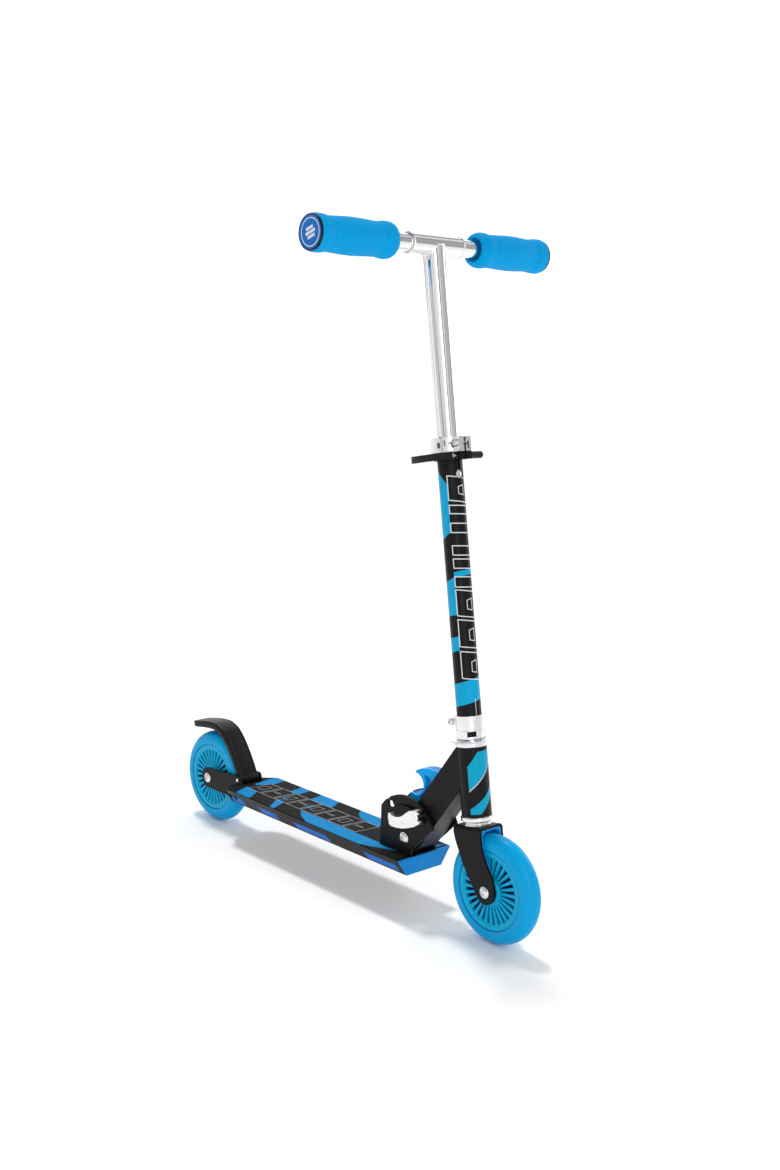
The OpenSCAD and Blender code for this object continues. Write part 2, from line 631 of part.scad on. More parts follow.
module along_handle(side) at_bar() rotate([side > 0 ? 0 : 180, 0, 0]) children();

module handle_tube(side) color("gainsboro") along_handle(side)
    translate([0, 0, 3]) ring(handle_d / 2, handle_d / 2 - 1.4, grip_end - 8);
module grip(side) color("#0096dc") along_handle(side) translate([0, 0, grip_end - grip_l])
    rotate_extrude() polygon(concat([[handle_d / 2 + 0.05, grip_l], [handle_d / 2 + 0.05, 4], [11, 4],
        [11, 0]], grip_profile()));
module grip_cap(side) color("#1e6fc0") along_handle(side) translate([0, 0, grip_end]) {
    cylinder(r = 18.2, h = 1.4);
    translate([0, 0, 1.4]) cylinder(r1 = 18.2, r2 = 17, h = 1.2);
    translate([0, 0, -4.9]) ring(handle_d / 2 - 1.5, 5, 4.9);
}

deck_frame();
grip_tape();
deck_front_cap();
fold_bracket(-1);  // fold_bracket_right
fold_bracket(1);  // fold_bracket_left
deck_bolts();
deck_cap_nuts();
fold_pivot_bolt();
rear_fork(-1);  // rear_fork_right
rear_fork(1);  // rear_fork_left
axle_bolt(rear_x);  // rear_axle_bolt
axle_spacers(rear_x);  // rear_axle_spacers
inner_races(rear_x);  // rear_bearing_inner_races
brake_hinge_pin();
tyre(rear_x);  // rear_tyre
hub(rear_x);  // rear_hub
outer_races(rear_x);  // rear_bearing_outer_races
brake_fender();
down_tube();
head_tube();
fold_liners();
fold_skewer();
fold_skewer_nut();
upper_headset_cup();
lower_headset_cup();
fold_quick_lever();
fold_lever_pin();
release_pull();
fork();
fork_steerer();
fork_liner();
crown_race();
headset_balls();
headset_washer();
headset_lock_nut();
lower_clamp();
clamp_screws();
steering_tube();
tube_bush();
height_clamp();
height_skewer();
height_skewer_nut();
axle_bolt(front_x);  // front_axle_bolt
axle_nut(front_x);  // front_axle_nut
axle_spacers(front_x);  // front_axle_spacers
inner_races(front_x);  // front_bearing_inner_races
height_quick_lever();
tyre(front_x);  // front_tyre
hub(front_x);  // front_hub
outer_races(front_x);  // front_bearing_outer_races
stem_tube();
t_sleeve();
tube_plug();
snap_button();
handle_tube(-1);  // right_handle_tube
handle_tube(1);  // left_handle_tube
grip(-1);  // right_grip
grip(1);  // left_grip
grip_cap(-1);  // right_grip_cap
grip_cap(1);  // left_grip_cap
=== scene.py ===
import json
import math

import bmesh
import bpy
import numpy as np
from mathutils import Matrix, Vector

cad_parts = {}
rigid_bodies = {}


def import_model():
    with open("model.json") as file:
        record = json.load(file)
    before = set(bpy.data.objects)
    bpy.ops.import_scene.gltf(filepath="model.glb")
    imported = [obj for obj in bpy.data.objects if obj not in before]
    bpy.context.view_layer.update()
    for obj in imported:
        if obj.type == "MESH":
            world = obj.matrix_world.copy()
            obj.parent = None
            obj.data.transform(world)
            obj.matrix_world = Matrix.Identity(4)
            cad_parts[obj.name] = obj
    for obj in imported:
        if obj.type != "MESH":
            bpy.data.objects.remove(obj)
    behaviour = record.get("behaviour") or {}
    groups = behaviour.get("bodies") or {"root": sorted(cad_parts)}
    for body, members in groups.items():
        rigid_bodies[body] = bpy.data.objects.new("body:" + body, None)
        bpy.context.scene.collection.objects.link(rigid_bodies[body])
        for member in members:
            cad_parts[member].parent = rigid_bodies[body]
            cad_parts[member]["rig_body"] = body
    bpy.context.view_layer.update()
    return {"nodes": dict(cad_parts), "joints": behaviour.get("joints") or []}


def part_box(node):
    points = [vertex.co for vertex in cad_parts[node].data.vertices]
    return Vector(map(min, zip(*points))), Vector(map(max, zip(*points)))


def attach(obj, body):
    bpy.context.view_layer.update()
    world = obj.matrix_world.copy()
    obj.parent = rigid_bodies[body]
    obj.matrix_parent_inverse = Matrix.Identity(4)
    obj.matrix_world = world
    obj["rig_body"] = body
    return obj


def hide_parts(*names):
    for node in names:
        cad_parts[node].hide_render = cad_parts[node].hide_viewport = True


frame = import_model()
joints = {j["name"]: j for j in frame["joints"]}
print("frame loaded:", len(frame["nodes"]), "nodes")

mm = 0.001


def corners(node):  # lowest and highest corner of a CAD node as arrays
    return tuple(np.array(c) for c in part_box(node))


steerBase = np.array(joints["steer"]["pos_m"])
steerAxis = np.array(joints["steer"]["axis"])
steerAxis = steerAxis / np.linalg.norm(steerAxis)
steerFore = np.array([steerAxis[2], 0.0, -steerAxis[0]])  # square to the steering axis, forward
frontAxle = np.array(joints["front_wheel_spin"]["pos_m"])
rearAxle = np.array(joints["rear_wheel_spin"]["pos_m"])
brakeHinge = np.array(joints["brake_press"]["pos_m"])
across = np.array([0.0, 1.0, 0.0])
ahead = np.array([1.0, 0.0, 0.0])
deckTop = corners("deck_frame")[1][2]
lean = math.atan2(-steerAxis[0], steerAxis[2])


def onSteerer(local):  # (forward, left, along) about the steering axis to the row frame
    local = np.asarray(local, float)
    return steerBase + local[..., :1] * steerFore + local[..., 1:2] * across + local[..., 2:3] * steerAxis


view = {
    "place": (1.17896, -1.03047, 0.61468),
    "yaw": 137.04,      # degrees, from +X towards +Y
    "pitch": -9.40,
    "roll": 1.69,
    "lens": 41.69,
}


def makeCamera():
    # axes from yaw and pitch, then rolled about the line of sight
    yaw, pitch, roll = (math.radians(view[k]) for k in ("yaw", "pitch", "roll"))
    sight = Vector((math.cos(yaw) * math.cos(pitch), math.sin(yaw) * math.cos(pitch), math.sin(pitch)))
    right = sight.cross(Vector((0, 0, 1))).normalized()
    up = right.cross(sight)
    right, up = right * math.cos(roll) + up * math.sin(roll), up * math.cos(roll) - right * math.sin(roll)
    camera = bpy.data.objects.new("camera", bpy.data.cameras.new("camera"))
    camera.data.sensor_fit = "VERTICAL"
    camera.data.sensor_height = 36
    camera.data.lens = view["lens"]
    turn = Matrix((right, up, -sight)).transposed().to_4x4()
    camera.matrix_world = Matrix.Translation(view["place"]) @ turn
    bpy.context.scene.collection.objects.link(camera)
    bpy.context.scene.camera = camera


makeCamera()


class Value:
    # a node's output that can stand in a sum

    def __init__(self, tree, socket):
        self.tree, self.socket = tree, socket

    def sum(self, kind, *others):
        return self.tree.node("ShaderNodeMath", {"operation": kind}, [self, *others])

    def after(self, kind, first):
        return self.tree.node("ShaderNodeMath", {"operation": kind}, [first, self])

    def __add__(self, o): return self.sum("ADD", o)
    def __radd__(self, o): return self.after("ADD", o)
    def __sub__(self, o): return self.sum("SUBTRACT", o)
    def __rsub__(self, o): return self.after("SUBTRACT", o)
    def __mul__(self, o): return self.sum("MULTIPLY", o)
    def __rmul__(self, o): return self.after("MULTIPLY", o)
    def __pow__(self, o): return self.sum("POWER", o)
    def __abs__(self): return self.sum("ABSOLUTE")


class Tree:
    # a node tree whose nodes all come from one method

    def __init__(self, tree):
        self.tree = tree

    def node(self, kind, settings=None, values=(), out=0):
        # settings are set first, then the sockets get values or links
        made = self.tree.nodes.new(kind)
        for key, value in (settings or {}).items():
            setattr(made, key, value)
        pairs = values.items() if isinstance(values, dict) else enumerate(values)
        for key, value in pairs:
            if isinstance(value, Value):
                self.tree.links.new(value.socket, made.inputs[key])
            elif value is not None:
                made.inputs[key].default_value = value
        return Value(self, made.outputs[out])

    def ramp(self, value, stops):  # straight lines between (place, shade) stops
        made = self.node("ShaderNodeValToRGB", {}, [value], out="Color")
        line = made.socket.node.color_ramp
        while len(line.elements) < len(stops):
            line.elements.new(0.5)
        for element, (place, shade) in zip(line.elements, stops):
            element.position, element.color = place, (shade, shade, shade, 1)
        return made

    def parts(self, vector):  # x, y and z of a vector
        split = self.node("ShaderNodeSeparateXYZ", {}, [vector])
        return [Value(self, split.socket.node.outputs[i]) for i in range(3)]


class Finish(Tree):
    # one material, with a Principled shader at the end

    def __init__(self, name):
        self.material = bpy.data.materials.new(name)
        self.material.use_nodes = True
        super().__init__(self.material.node_tree)
        self.shader = self.tree.nodes["Principled BSDF"]
        self.spot = self.node("ShaderNodeTexCoord", {}, [], out="Object")

    def set(self, **values):  # sockets of the shader, their spaces written as underscores
        for key, value in values.items():
            socket = self.shader.inputs[key.replace("_", " ")]
            if isinstance(value, Value):
                self.tree.links.new(value.socket, socket)
            else:
                socket.default_value = (*value, 1) if isinstance(value, tuple) else value

    def join(self, x, y, z):
        return self.node("ShaderNodeCombineXYZ", {}, [x, y, z])

    def mixColour(self, amount, a, b):  # a where amount is 0, b where it is 1
        made = self.tree.nodes.new("ShaderNodeMix")
        made.data_type = "RGBA"
        made.clamp_factor = True
        for index, value in ((0, amount), (6, a), (7, b)):
            if isinstance(value, Value):
                self.tree.links.new(value.socket, made.inputs[index])
            else:
                made.inputs[index].default_value = (*value, 1) if isinstance(value, tuple) else value
        return Value(self, made.outputs[2])

    # fractal noise over the object's own coordinates
    def noise(self, scale, detail=3.0, rough=0.5):
        return self.node("ShaderNodeTexNoise", {}, {
            "Vector": self.spot, "Scale": scale, "Detail": detail, "Roughness": rough})

    def step(self, value, low, high):  # 0 below low, 1 above high, smooth between
        return self.node("ShaderNodeMapRange", {"interpolation_type": "SMOOTHSTEP"}, {
            "Value": value, "From Min": low, "From Max": high})

    def most(self, values):  # the greatest of the values, for masks that overlap
        total = values[0]
        for value in values[1:]:
            total = total.sum("MAXIMUM", value)
        return total

    def least(self, values):  # the smallest of the values
        total = values[0]
        for value in values[1:]:
            total = total.sum("MINIMUM", value)
        return total

    # a normal tilted by a height field
    def bump(self, height, distance, strength):
        made = self.node("ShaderNodeBump", {}, {"Height": height, "Distance": distance, "Strength": strength})
        self.tree.links.new(made.socket, self.shader.inputs["Normal"])

    def alongSteerer(self):  # object coordinates turned so that z runs up the steering axis
        return self.node("ShaderNodeMapping", {"vector_type": "TEXTURE"}, {
            "Vector": self.spot, "Location": tuple(steerBase), "Rotation": (0.0, -lean, 0.0)})

    def inside(self, x, y, points):
        # least distance to the edges of a convex outline given anticlockwise: positive inside
        sides = []
        for (x0, y0), (x1, y1) in zip(points, points[1:] + points[:1]):
            length = math.hypot(x1 - x0, y1 - y0)
            a, b = -(y1 - y0) / length, (x1 - x0) / length
            sides.append(x * a + y * b + (-(a * x0 + b * y0)))
        return self.least(sides)


def linear(hexCode):  # a screen colour such as "1e6fc0" as linear light
    parts = [int(hexCode[i:i + 2], 16) / 255 for i in (0, 2, 4)]
    return tuple(c / 12.92 if c <= 0.04045 else ((c + 0.055) / 1.055) ** 2.4 for c in parts)


paint = {
    "black": (0.006, 0.006, 0.0064),
    "deckBrown": (0.010, 0.0078, 0.0062),
    "decalBlue": linear("00a4d4"),
    "headBlue": linear("00a0c6"),
    "sideBlue": linear("006fd0"),
    "tapeBlue": linear("0096da"),
    "line": linear("d9dcdd"),
    "grain": 2600.0,        # fineness of the powder coat
    "rough": 0.36,
}


def powderCoat(finish, colour, rough=None):
    # powder-coat grain in the bump, cloudy gloss, and a little dust in the colour
    grain = finish.noise(paint["grain"], 2.0)
    clouds = finish.noise(38.0, 4.0)
    dust = finish.step(finish.noise(900.0, 2.0, 0.7), 0.66, 0.8)
    rough = (paint["rough"] if rough is None else rough) + (clouds - 0.5) * 0.16 + dust * 0.12
    if not isinstance(colour, Value):
        colour = finish.mixColour(0.0, colour, colour)
    colour = finish.mixColour(clouds * 0.3, colour, finish.mixColour(0.5, colour, (0.013, 0.013, 0.014)))
    colour = finish.mixColour(dust * 0.03, colour, (0.2, 0.2, 0.2))
    finish.set(Base_Color=colour, Roughness=rough, Specular_IOR_Level=0.12)
    finish.bump(grain + clouds * 0.6, 0.00006, 0.5)
    return finish.material


# the frame's black powder coat
def blackPaint():
    return powderCoat(Finish("black_paint"), paint["black"])


tubeDecals = {
    # outlined bars up the front of the steering tube: lower and upper station in mm
    "bars": [(222, 252), (256, 286), (289, 318), (321, 333), (341, 352), (355, 366), (379, 390), (399, 409),
             (412, 439)],
    "barEdge": 66.0,       # degrees either side of the front
    "line": 1.1,           # width of the outlines in mm
    "radius": 13.5,
}


def between(finish, value, low, high, soft=0.05):  # 1 from low to high, 0 elsewhere
    return finish.step(value, low - soft, low + soft) * (1.0 - finish.step(value, high - soft, high + soft))


def steererPolar(finish):
    # turn in degrees about the steering axis (0 at the front, + to the left) and station in mm
    x, y, z = finish.parts(finish.alongSteerer())
    turn = y.sum("ARCTAN2", x) * (180 / math.pi)
    return turn, z * 1000.0


def tubePaint():
    # blue patches on the flanks, outlined bars up the front, and one band round the foot
    finish = Finish("tube_paint")
    turn, station = steererPolar(finish)
    away = abs(turn)                              # both sides of the tube carry the same pattern
    flank = (away - tubeDecals["barEdge"]) * (1 / 70.0)   # 0 at the bars' edge, 1 well round the side
    onFlank = finish.step(away, tubeDecals["barEdge"] - 0.4, tubeDecals["barEdge"] + 0.4)
    patches = [
        between(finish, station, 381.0 - flank * 11.0, 432.0 + flank * 20.0) * onFlank,
        between(finish, station, 293.0 - flank * 2.0, 333.0 - flank * 7.0) * onFlank,
        between(finish, station, 255.0 - flank * 4.0, 270.0 - flank * 3.0) * onFlank,
        between(finish, station, 334.5 + turn * 0.03, 340.5 + turn * 0.03) * (1.0 - onFlank),
        between(finish, station, 199.5 + turn * 0.05, 224.0 + turn * 0.05),
    ]
    blue = finish.most(patches)
    wrap = turn * (math.pi / 180 * tubeDecals["radius"])   # turn as mm along the wall
    half = tubeDecals["barEdge"] * math.pi / 180 * tubeDecals["radius"]
    lines = []
    for low, high in tubeDecals["bars"]:
        skew = 2.5 if high - low > 20 else 1.2
        box = finish.inside(wrap, station, [(-half, low + skew), (half, low - skew), (half, high - skew),
                                              (-half, high + skew)])
        lines.append(between(finish, box, 0.0, tubeDecals["line"]))
        if high - low > 20:    # a short slanted tick inside each tall bar
            tick = finish.inside(wrap, station, [(-half * 0.25, low + 9), (half * 0.25, low + 7),
                                                   (half * 0.25, high - 8), (-half * 0.25, high - 10)])
            lines.append(between(finish, tick, 0.0, tubeDecals["line"] * 0.8))
    lines.append(between(finish, turn, -13.0, -9.0, 0.4) * between(finish, station, 184.0, 202.0) * 0.7)
    line = finish.most(lines)
    colour = finish.mixColour(blue, paint["black"], paint["decalBlue"])
    colour = finish.mixColour(line, colour, paint["line"])
    return powderCoat(finish, colour, 0.3)


def headPaint():
    # two bands that climb and bow towards the left, cut straight at their right-hand end
    finish = Finish("head_tube_paint")
    turn, station = steererPolar(finish)
    curve = (turn + 67.0) * (1 / 107.0)           # 0 at the cut, 1 well round the front
    rise = curve * 22.0 + curve * curve * 10.0 + 3.0
    ends = between(finish, turn, -68.0, 72.0, 0.4)
    top = between(finish, station, 101.5 + rise, (126.0 + rise * 1.5).sum("MINIMUM", 145.0 + curve * 1.5))
    low = between(finish, station, (66.0 + rise).sum("MAXIMUM", 78.3), 82.0 + rise * 0.8)
    edge = between(finish, station, 99.7 + rise, 101.5 + rise)
    colour = finish.mixColour(finish.most([top, low]) * ends, paint["black"], paint["headBlue"])
    colour = finish.mixColour(edge * ends * 0.75, colour, paint["line"])
    return powderCoat(finish, colour, 0.3)


sidePatches = [(-186, -160), (-126, -92), (-57, 6), (72, 126)]   # along X in mm, on the deck's flanks


def deckPaint():
    # slanted blue patches low on the flanks, and only on the outer walls
    finish = Finish("deck_paint")
    x, y, z = finish.parts(finish.spot)
    x, z = x * 1000.0, (z - deckTop) * 1000.0
    low = between(finish, z, -17.6, -9.0, 0.15)
    spans = [between(finish, x + z * 0.5, a, b, 0.3) for a, b in sidePatches]
    across = finish.step(abs(y) * 1000.0, 27.6, 28.0)
    mask = finish.most(spans) * low * across
    colour = finish.mixColour(mask, paint["deckBrown"], paint["sideBlue"])
    return powderCoat(finish, colour, 0.34)


tapeShapes = {
    # convex outlines in mm, anticlockwise from above
    "blue": [
        [(-177, 19), (-173, -1), (-169, -1), (-157, 16), (-158, 26), (-161, 42), (-178, 42)],
        [(-122, 17), (-105, 17), (-108, 42), (-125, 42)],
        [(-81, 17), (-40, 17), (-52, 42), (-86, 42)],
        [(29, 17), (46, 17), (46, 42), (-12, 42), (-3, 29), (9, 21)],
        [(-163, -34), (-159, -42), (-131, -42), (-143, -22), (-149, -15), (-171, -15)],
        [(-110, -12), (-89, -42), (-66, -42), (-97, -6), (-105, 13)],
        [(-31, -35), (-16, -42), (75, -42), (97, -33), (113, -24), (127, -18), (-56, -18), (-45, -28)],
        [(-69, -6), (-58, -6), (-59, 6), (-70, 6)],
        [(131, 22), (141, 22), (141, 41), (141, 41.5), (137, 38)],
    ],
    "bars": (-167.0, 44.0, 8, 17.0, 5.0),   # from, to, how many, half height, slant
    "line": 0.9,
}


def gripTape():
    # blue patches under a row of outlined bars, printed on dark grit
    finish = Finish("grip_tape_print")
    x, y, z = finish.parts(finish.spot)
    x, y = x * 1000.0, y * 1000.0
    blue = finish.most([finish.step(finish.inside(x, y, points), -0.15, 0.15)
                        for points in tapeShapes["blue"]])
    start, stop, count, half, slant = tapeShapes["bars"]
    pitch = (stop - start) / count
    lines, dark = [], []
    for i in range(count):
        a, b = start + i * pitch + 1.0, start + (i + 1) * pitch - 1.0
        box = finish.inside(x, y, [(a, -half), (b, -half), (b + slant, half), (a + slant, half)])
        lines.append(between(finish, box, 0.0, tapeShapes["line"], 0.1))
        dark.append(finish.step(box, -0.1, 0.1))
        if i % 2 == 0:
            tall, tilt = half * 0.45, slant * 0.5
            inner = finish.inside(x, y, [(a + 7, -tall), (b - 7, -tall), (b - 7 + tilt, tall),
                                         (a + 7 + tilt, tall)])
        else:
            inner = finish.inside(x, y, [(a + 6, -1.6), (b - 6, -1.6), (b - 5, 1.6), (a + 7, 1.6)])
        lines.append(between(finish, inner, 0.0, tapeShapes["line"] * 0.8, 0.1))
    grit = finish.node("ShaderNodeTexVoronoi", {}, {"Vector": finish.spot, "Scale": 1500.0})
    fine = finish.noise(4200.0, 2.0, 0.7)
    clouds = finish.noise(60.0, 3.0)
    shown = blue * (1.0 - finish.most(dark) * 0.8)
    colour = finish.mixColour(shown, (0.0055, 0.006, 0.0055), paint["tapeBlue"])
    colour = finish.mixColour(finish.most(lines) * 0.7, colour, paint["line"])
    speck = finish.step(fine, 0.62, 0.72)
    colour = finish.mixColour(speck * 0.07, colour, (0.3, 0.31, 0.32))
    dirt = finish.step(grit, 0.0, 0.35) * 0.25 + clouds * 0.1
    colour = finish.mixColour(dirt, colour, (0.006, 0.006, 0.007))
    finish.set(Base_Color=colour, Roughness=0.72 + (clouds - 0.5) * 0.2 - speck * 0.25,
               Specular_IOR_Level=0.1)
    finish.bump(grit * 0.8 + fine * 0.5, 0.00022, 0.75)
    return finish.material


def bluePlastic(name, hexCode, rough):
    # moulded plastic: fine spark texture, slow waves from cooling, and a deeper tone in the clouds
    finish = Finish(name)
    grain = finish.noise(3200.0, 2.0)
    clouds = finish.noise(45.0, 3.0)
    scuff = finish.step(finish.noise(240.0, 5.0, 0.75), 0.6, 0.72)
    colour = finish.mixColour(clouds * 0.28, linear(hexCode), linear("0a5fae"))
    colour = finish.mixColour(scuff * 0.06, colour, (0.7, 0.8, 0.9))
    finish.set(Base_Color=colour, Roughness=rough + (clouds - 0.5) * 0.12 + scuff * 0.1,
               Specular_IOR_Level=0.12)
    finish.bump(grain + clouds * 2.0, 0.00004, 0.4)
    return finish.material


def wheelRadius(finish, x, z):  # mm from the nearer axle
    ahead, up = (abs(x) - float(frontAxle[0])) * 1000.0, (z - float(frontAxle[2])) * 1000.0
    return (ahead * ahead + up * up) ** 0.5


def tyreUrethane():
    # cast urethane: clean shoulders, and a duller, faintly grey running band with fine rolling marks
    finish = Finish("tyre_urethane")
    x, y, z = finish.parts(finish.spot)
    # painted shade: a dark line in the crease where the tyre meets the hub
    seamShade = between(finish, wheelRadius(finish, x, z), 43.0, 44.0, 0.15)   # dark line where it meets the hub
    clouds = finish.noise(50.0, 3.0)
    band = 1.0 - finish.step(abs(y), 0.0035, 0.0085)
    marks = finish.node("ShaderNodeTexNoise", {}, {
        "Vector": finish.join(x, y * 9.0, z), "Scale": 420.0, "Detail": 4.0, "Roughness": 0.65})
    worn = band * finish.step(marks, 0.5, 0.68)
    colour = finish.mixColour(clouds * 0.3, linear("00a0da"), linear("0092cc"))
    colour = finish.mixColour(worn * 0.1, colour, linear("0f8dc3"))
    colour = finish.mixColour(seamShade * 0.8, colour, linear("03548f"))
    finish.set(Base_Color=colour, Roughness=0.2 + band * 0.12 + worn * 0.2 + (clouds - 0.5) * 0.08,
               Specular_IOR_Level=0.12)
    finish.bump(marks * band + clouds * 0.6, 0.00012, 0.35)
    return finish.material


def hubPlastic():
    # painted shade: the slots' walls and floors go navy by the depth stored on the surface
    finish = Finish("hub_plastic")
    depth = finish.node("ShaderNodeAttribute", {"attribute_name": "depth"}, [], out="Fac")
    clouds = finish.noise(70.0, 3.0)
    grain = finish.noise(3000.0, 2.0)
    colour = finish.mixColour(clouds * 0.25, linear("00a8d4"), linear("0098c8"))
    # painted shade, darker the deeper into the slots
    colour = finish.mixColour(finish.step(depth, 0.12, 0.62), colour, linear("0d1f70"))
    finish.set(Base_Color=colour, Roughness=0.3 + (clouds - 0.5) * 0.1 + depth * 0.2, Specular_IOR_Level=0.12)
    finish.bump(grain, 0.00004, 0.3)
    return finish.material


def gripFoam():
    # soft closed-cell grip: matt skin with fine cells and a light sheen
    finish = Finish("grip_foam")
    cells = finish.node("ShaderNodeTexVoronoi", {}, {"Vector": finish.spot, "Scale": 1700.0})
    fine = finish.noise(2400.0, 3.0, 0.65)
    clouds = finish.noise(34.0, 4.0)
    colour = finish.mixColour(clouds * 0.4, linear("0096d4"), linear("0088c6"))
    colour = finish.mixColour(finish.step(fine, 0.6, 0.75) * 0.06, colour, (0.1, 0.5, 0.85))
    finish.set(Base_Color=colour, Roughness=0.62 + (clouds - 0.5) * 0.16, Specular_IOR_Level=0.06)
    finish.bump(cells * 0.7 + fine, 0.00008, 0.5)
    return finish.material


capMark = {
    # sizes in mm
    "ring": (13.2, 14.2),       # inner and outer radius
    "bar": (7.5, 1.5, 4.2),     # half length, half width, pitch
}


def capPlastic():
    # plain end-cap mark: one pale ring and three bars, set about the bar's centre line
    finish = Finish("cap_plastic")
    low, high = corners("right_grip_cap")
    centre = (low + high) / 2
    x, y, z = finish.parts(finish.spot)
    x, z = (x - float(centre[0])) * 1000.0, (z - float(centre[2])) * 1000.0
    radius = (x * x + z * z) ** 0.5
    ring = between(finish, radius, *capMark["ring"], 0.08)
    long, wide, pitch = capMark["bar"]
    bars = []
    for i in (-1, 0, 1):
        u, v = x * 0.94 + z * 0.34, z * 0.94 - x * 0.34 - i * pitch
        reach = long - abs(i) * 2.0
        bars.append((1.0 - finish.step(abs(u), reach - 0.1, reach + 0.1))
                    * (1.0 - finish.step(abs(v), wide - 0.1, wide + 0.1)))
    clouds = finish.noise(60.0, 3.0)
    colour = finish.mixColour(clouds * 0.3, linear("1c6abb"), linear("145a9e"))
    colour = finish.mixColour(finish.step(radius, 16.4, 16.9), colour, linear("101a2b"))
    colour = finish.mixColour(finish.most([ring, *bars]), colour, linear("cfd9e2"))
    finish.set(Base_Color=colour, Roughness=0.24 + (clouds - 0.5) * 0.1, Specular_IOR_Level=0.15)
    finish.bump(finish.noise(2500.0, 2.0), 0.00003, 0.3)
    return finish.material


def chromedTube():
    # polished chrome with hair-fine drawing lines along the tube and a few dull smudges
    finish = Finish("chromed_tube")
    x, y, z = finish.parts(finish.alongSteerer())
    hair = finish.node("ShaderNodeTexNoise", {}, {
        "Vector": finish.join(x * 90.0, y * 90.0, z * 2.0), "Scale": 28.0, "Detail": 3.0, "Roughness": 0.6})
    smudge = finish.noise(24.0, 5.0, 0.65)
    rough = 0.09 + finish.step(smudge, 0.48, 0.7) * 0.12 + (hair - 0.5) * 0.05
    colour = finish.mixColour(smudge * 0.5, (0.82, 0.82, 0.83), (0.66, 0.67, 0.68))
    finish.set(Base_Color=colour, Metallic=1.0, Roughness=rough)
    finish.bump(hair, 0.00001, 0.35)
    return finish.material


def brightSteel():
    # zinc-bright fasteners: turned rings and small handling marks
    finish = Finish("bright_steel")
    fine = finish.noise(1400.0, 3.0, 0.6)
    clouds = finish.noise(120.0, 4.0)
    marks = finish.step(finish.noise(420.0, 5.0, 0.8), 0.62, 0.7)
    colour = finish.mixColour(clouds * 0.5 + marks * 0.3, (0.82, 0.82, 0.84), (0.55, 0.55, 0.57))
    finish.set(Base_Color=colour, Metallic=1.0, Roughness=0.2 + clouds * 0.1 + marks * 0.15)
    finish.bump(fine + marks * 0.6, 0.00002, 0.4)
    return finish.material


def castAlloy(name="cast_alloy", blackPaintAndPaintedShade=None):
    # tumbled die-cast alloy: soft dimples, bright high spots; the darkening mask, when given, marks black
    # paint and also painted shade and painted dark reflections
    finish = Finish(name)
    dimples = finish.noise(520.0, 4.0, 0.6)
    clouds = finish.noise(90.0, 3.0)
    pits = finish.step(finish.noise(1300.0, 2.0), 0.66, 0.74)
    colour = finish.mixColour(pits * 0.6 + clouds * 0.3, (0.84, 0.84, 0.85), (0.5, 0.5, 0.52))
    metal = 1.0
    if blackPaintAndPaintedShade:
        paintAndShadeCover = blackPaintAndPaintedShade(finish)
        # black paint, painted shade and painted dark reflections all take the black paint colour and lose
        # their metal
        colour = finish.mixColour(paintAndShadeCover, colour, paint["black"])
        metal = 1.0 - paintAndShadeCover
    finish.set(Base_Color=colour, Metallic=metal, Roughness=0.24 + (dimples - 0.5) * 0.2 + pits * 0.15,
               Specular_IOR_Level=0.12)
    finish.bump(dimples - pits * 0.5, 0.00018, 0.45)
    return finish.material


hollows = {
    # dark oblongs painted into the metal: painted shade in the height clamp's sunken windows and a painted
    # dark reflection on the lock nut's flats; turn from and to in degrees, then station from and to in mm
    "clampStep": 465.5,    # black paint below this station of the height clamp
    # painted shade in the height clamp's sunken windows
    "clamp": [(-83, -72, 470, 476), (-37, -27, 470, 475.5), (-59, -55, 472, 478), (-45, -37, 474, 475.5),
              (8, 14, 468, 476), (-6, 8, 472, 474)],
    # painted dark reflection on every other flat of the lock nut
    "lockNut": [(m - 18, m + 20, 161.6, 167.4) for m in (-161, -41, 79)],   # every other flat
}


# painted shade and painted dark reflection: 1 inside any of the spans of turn and station, 0 outside, soft at
# the edges
def paintedShadeAndReflection(finish, turn, station, spans):
    return finish.most([between(finish, turn, a, b, 0.5) * between(finish, station, low, high, 0.15)
                        for a, b, low, high in spans])


# 1 where the height clamp is dark: black paint below the step, and painted shade in its sunken windows
def clampPaintAndShade(finish):
    turn, station = steererPolar(finish)
    # painted shade in the clamp's sunken windows
    dark = paintedShadeAndReflection(finish, turn, station, hollows["clamp"])
    step = hollows["clampStep"]
    return finish.most([1.0 - finish.step(station, step - 0.2, step + 0.2), dark * 0.9])


# 1 where a painted dark reflection lies on the lock nut's flats
def lockNutPaintedReflection(finish):
    return paintedShadeAndReflection(finish, *steererPolar(finish), hollows["lockNut"])


def blackMoulded(name="black_moulded", rough=0.4, hexCode="141415"):
    # moulded black: fine leathery grain with polished high spots and faint scuffs
    finish = Finish(name)
    grain = finish.noise(1500.0, 3.0, 0.55)
    clouds = finish.noise(40.0, 4.0)
    scuff = finish.step(finish.noise(170.0, 6.0, 0.8), 0.6, 0.7)
    colour = finish.mixColour(clouds * 0.4, linear(hexCode), linear("1c1c1e"))
    colour = finish.mixColour(scuff * 0.05, colour, (0.1, 0.1, 0.1))
    finish.set(Base_Color=colour, Roughness=rough + (grain - 0.5) * 0.12 + scuff * 0.12,
               Specular_IOR_Level=0.15)
    finish.bump(grain + clouds * 0.8, 0.00009, 0.4)
    return finish.material


def pullPlastic():
    # painted shade: the finger pull is darker inside its recessed web
    finish = Finish("pull_plastic")
    x, y, z = finish.parts(finish.spot)
    recessShade = 1.0 - finish.step(abs(y), 0.0044, 0.0049)
    clouds = finish.noise(60.0, 3.0)
    colour = finish.mixColour(clouds * 0.25, linear("00a2e8"), linear("0090da"))
    # painted shade in the recessed web
    colour = finish.mixColour(recessShade * 0.85, colour, linear("0068b8"))
    finish.set(Base_Color=colour, Roughness=0.32 + (clouds - 0.5) * 0.12, Specular_IOR_Level=0.12)
    finish.bump(finish.noise(2600.0, 2.0), 0.00004, 0.35)
    return finish.material


